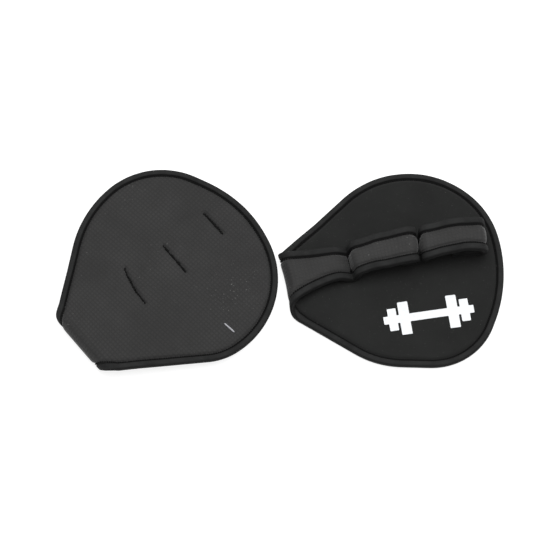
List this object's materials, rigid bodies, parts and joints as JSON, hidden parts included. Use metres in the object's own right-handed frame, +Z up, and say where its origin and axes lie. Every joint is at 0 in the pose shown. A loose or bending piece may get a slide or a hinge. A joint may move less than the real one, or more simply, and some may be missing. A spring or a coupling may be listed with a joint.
{
  "type": "pair of hand grips",
  "caption": "Mirrored pair of teardrop neoprene grip pads for lifting and bar work, each with a folded strap sewn down into finger loops.",
  "frame": {"origin": "middle of the pair's footprint, on the surface the grips lie on", "axes": "+X from the left grip to the right grip, +Y away from the viewer, +Z up"},
  "size_m": [0.283, 0.1372, 0.0229],
  "materials": {
    "grip_fabric": "textured, matte",
    "neoprene_foam": "matte",
    "jersey": "matte",
    "binding_tape": "matte",
    "sewing_thread": "satin",
    "print_ink": "matte",
    "tag_plastic": "satin"
  },
  "bodies": {
    "right_centre": {"right_centre_face": "grip_fabric", "right_centre_foam": "neoprene_foam", "right_centre_lining": "jersey", "right_centre_binding": "binding_tape", "right_centre_thread": "sewing_thread", "right_strap_face": "grip_fabric", "right_strap_foam": "neoprene_foam", "right_strap_lining": "jersey", "right_strap_binding_upper": "binding_tape", "right_strap_binding_lower": "binding_tape", "right_strap_thread": "sewing_thread", "right_seam_a_threads": "sewing_thread", "right_seam_b_threads": "sewing_thread", "right_seam_c_threads": "sewing_thread", "right_finger_flex_strip": "neoprene_foam", "right_palm_flex_strip": "neoprene_foam"},
    "right_finger_flap": {"right_finger_flap_face": "grip_fabric", "right_finger_flap_foam": "neoprene_foam", "right_finger_flap_lining": "jersey", "right_finger_flap_binding": "binding_tape", "right_finger_flap_thread": "sewing_thread"},
    "right_palm_flap": {"right_palm_flap_face": "grip_fabric", "right_palm_flap_foam": "neoprene_foam", "right_palm_flap_lining": "jersey", "right_palm_flap_binding": "binding_tape", "right_palm_flap_thread": "sewing_thread", "right_printed_mark": "print_ink"},
    "left_centre": {"left_centre_face": "grip_fabric", "left_centre_foam": "neoprene_foam", "left_centre_lining": "jersey", "left_centre_binding": "binding_tape", "left_centre_thread": "sewing_thread", "left_strap_face": "grip_fabric", "left_strap_foam": "neoprene_foam", "left_strap_lining": "jersey", "left_strap_binding_upper": "binding_tape", "left_strap_binding_lower": "binding_tape", "left_strap_thread": "sewing_thread", "left_seam_a_threads": "sewing_thread", "left_seam_b_threads": "sewing_thread", "left_seam_c_threads": "sewing_thread", "left_finger_flex_strip": "neoprene_foam", "left_palm_flex_strip": "neoprene_foam"},
    "left_finger_flap": {"left_finger_flap_face": "grip_fabric", "left_finger_flap_foam": "neoprene_foam", "left_finger_flap_lining": "jersey", "left_finger_flap_binding": "binding_tape", "left_finger_flap_thread": "sewing_thread"},
    "left_palm_flap": {"left_palm_flap_face": "grip_fabric", "left_palm_flap_foam": "neoprene_foam", "left_palm_flap_lining": "jersey", "left_palm_flap_binding": "binding_tape", "left_palm_flap_thread": "sewing_thread", "left_printed_mark": "print_ink", "left_tag_pin": "tag_plastic"}
  },
  "joints": [
    {"name": "left_grip_slide", "type": "slide", "parent": "right_centre", "child": "left_centre", "axis": [-1, 0, 0], "range_m": [0, 0.08]},
    {"name": "right_finger_flap_bend", "type": "hinge", "parent": "right_centre", "child": "right_finger_flap", "pos_m": [0.0683, 0.02983, 0.0026], "axis": [0.9883, 0.1523, 0], "range_deg": [-75, 75], "stiffness_Nm_per_rad": 0.15, "deforming": ["right_finger_flex_strip"]},
    {"name": "right_palm_flap_bend", "type": "hinge", "parent": "right_centre", "child": "right_palm_flap", "pos_m": [0.07894, -0.01836, 0.0026], "axis": [0.9378, 0.3472, 0], "range_deg": [-50, 75], "stiffness_Nm_per_rad": 0.15, "deforming": ["right_palm_flex_strip"]},
    {"name": "left_finger_flap_bend", "type": "hinge", "parent": "left_centre", "child": "left_finger_flap", "pos_m": [-0.09413, 0.01556, 0.0133], "axis": [0.7212, 0.6928, 0], "range_deg": [-73, 77], "stiffness_Nm_per_rad": 0.15, "deforming": ["left_finger_flex_strip"]},
    {"name": "left_palm_flap_bend", "type": "hinge", "parent": "left_centre", "child": "left_palm_flap", "pos_m": [-0.05772, -0.01775, 0.0133], "axis": [0.5678, 0.8232, 0], "range_deg": [-79, 46], "stiffness_Nm_per_rad": 0.15, "deforming": ["left_palm_flex_strip"]}
  ]
}
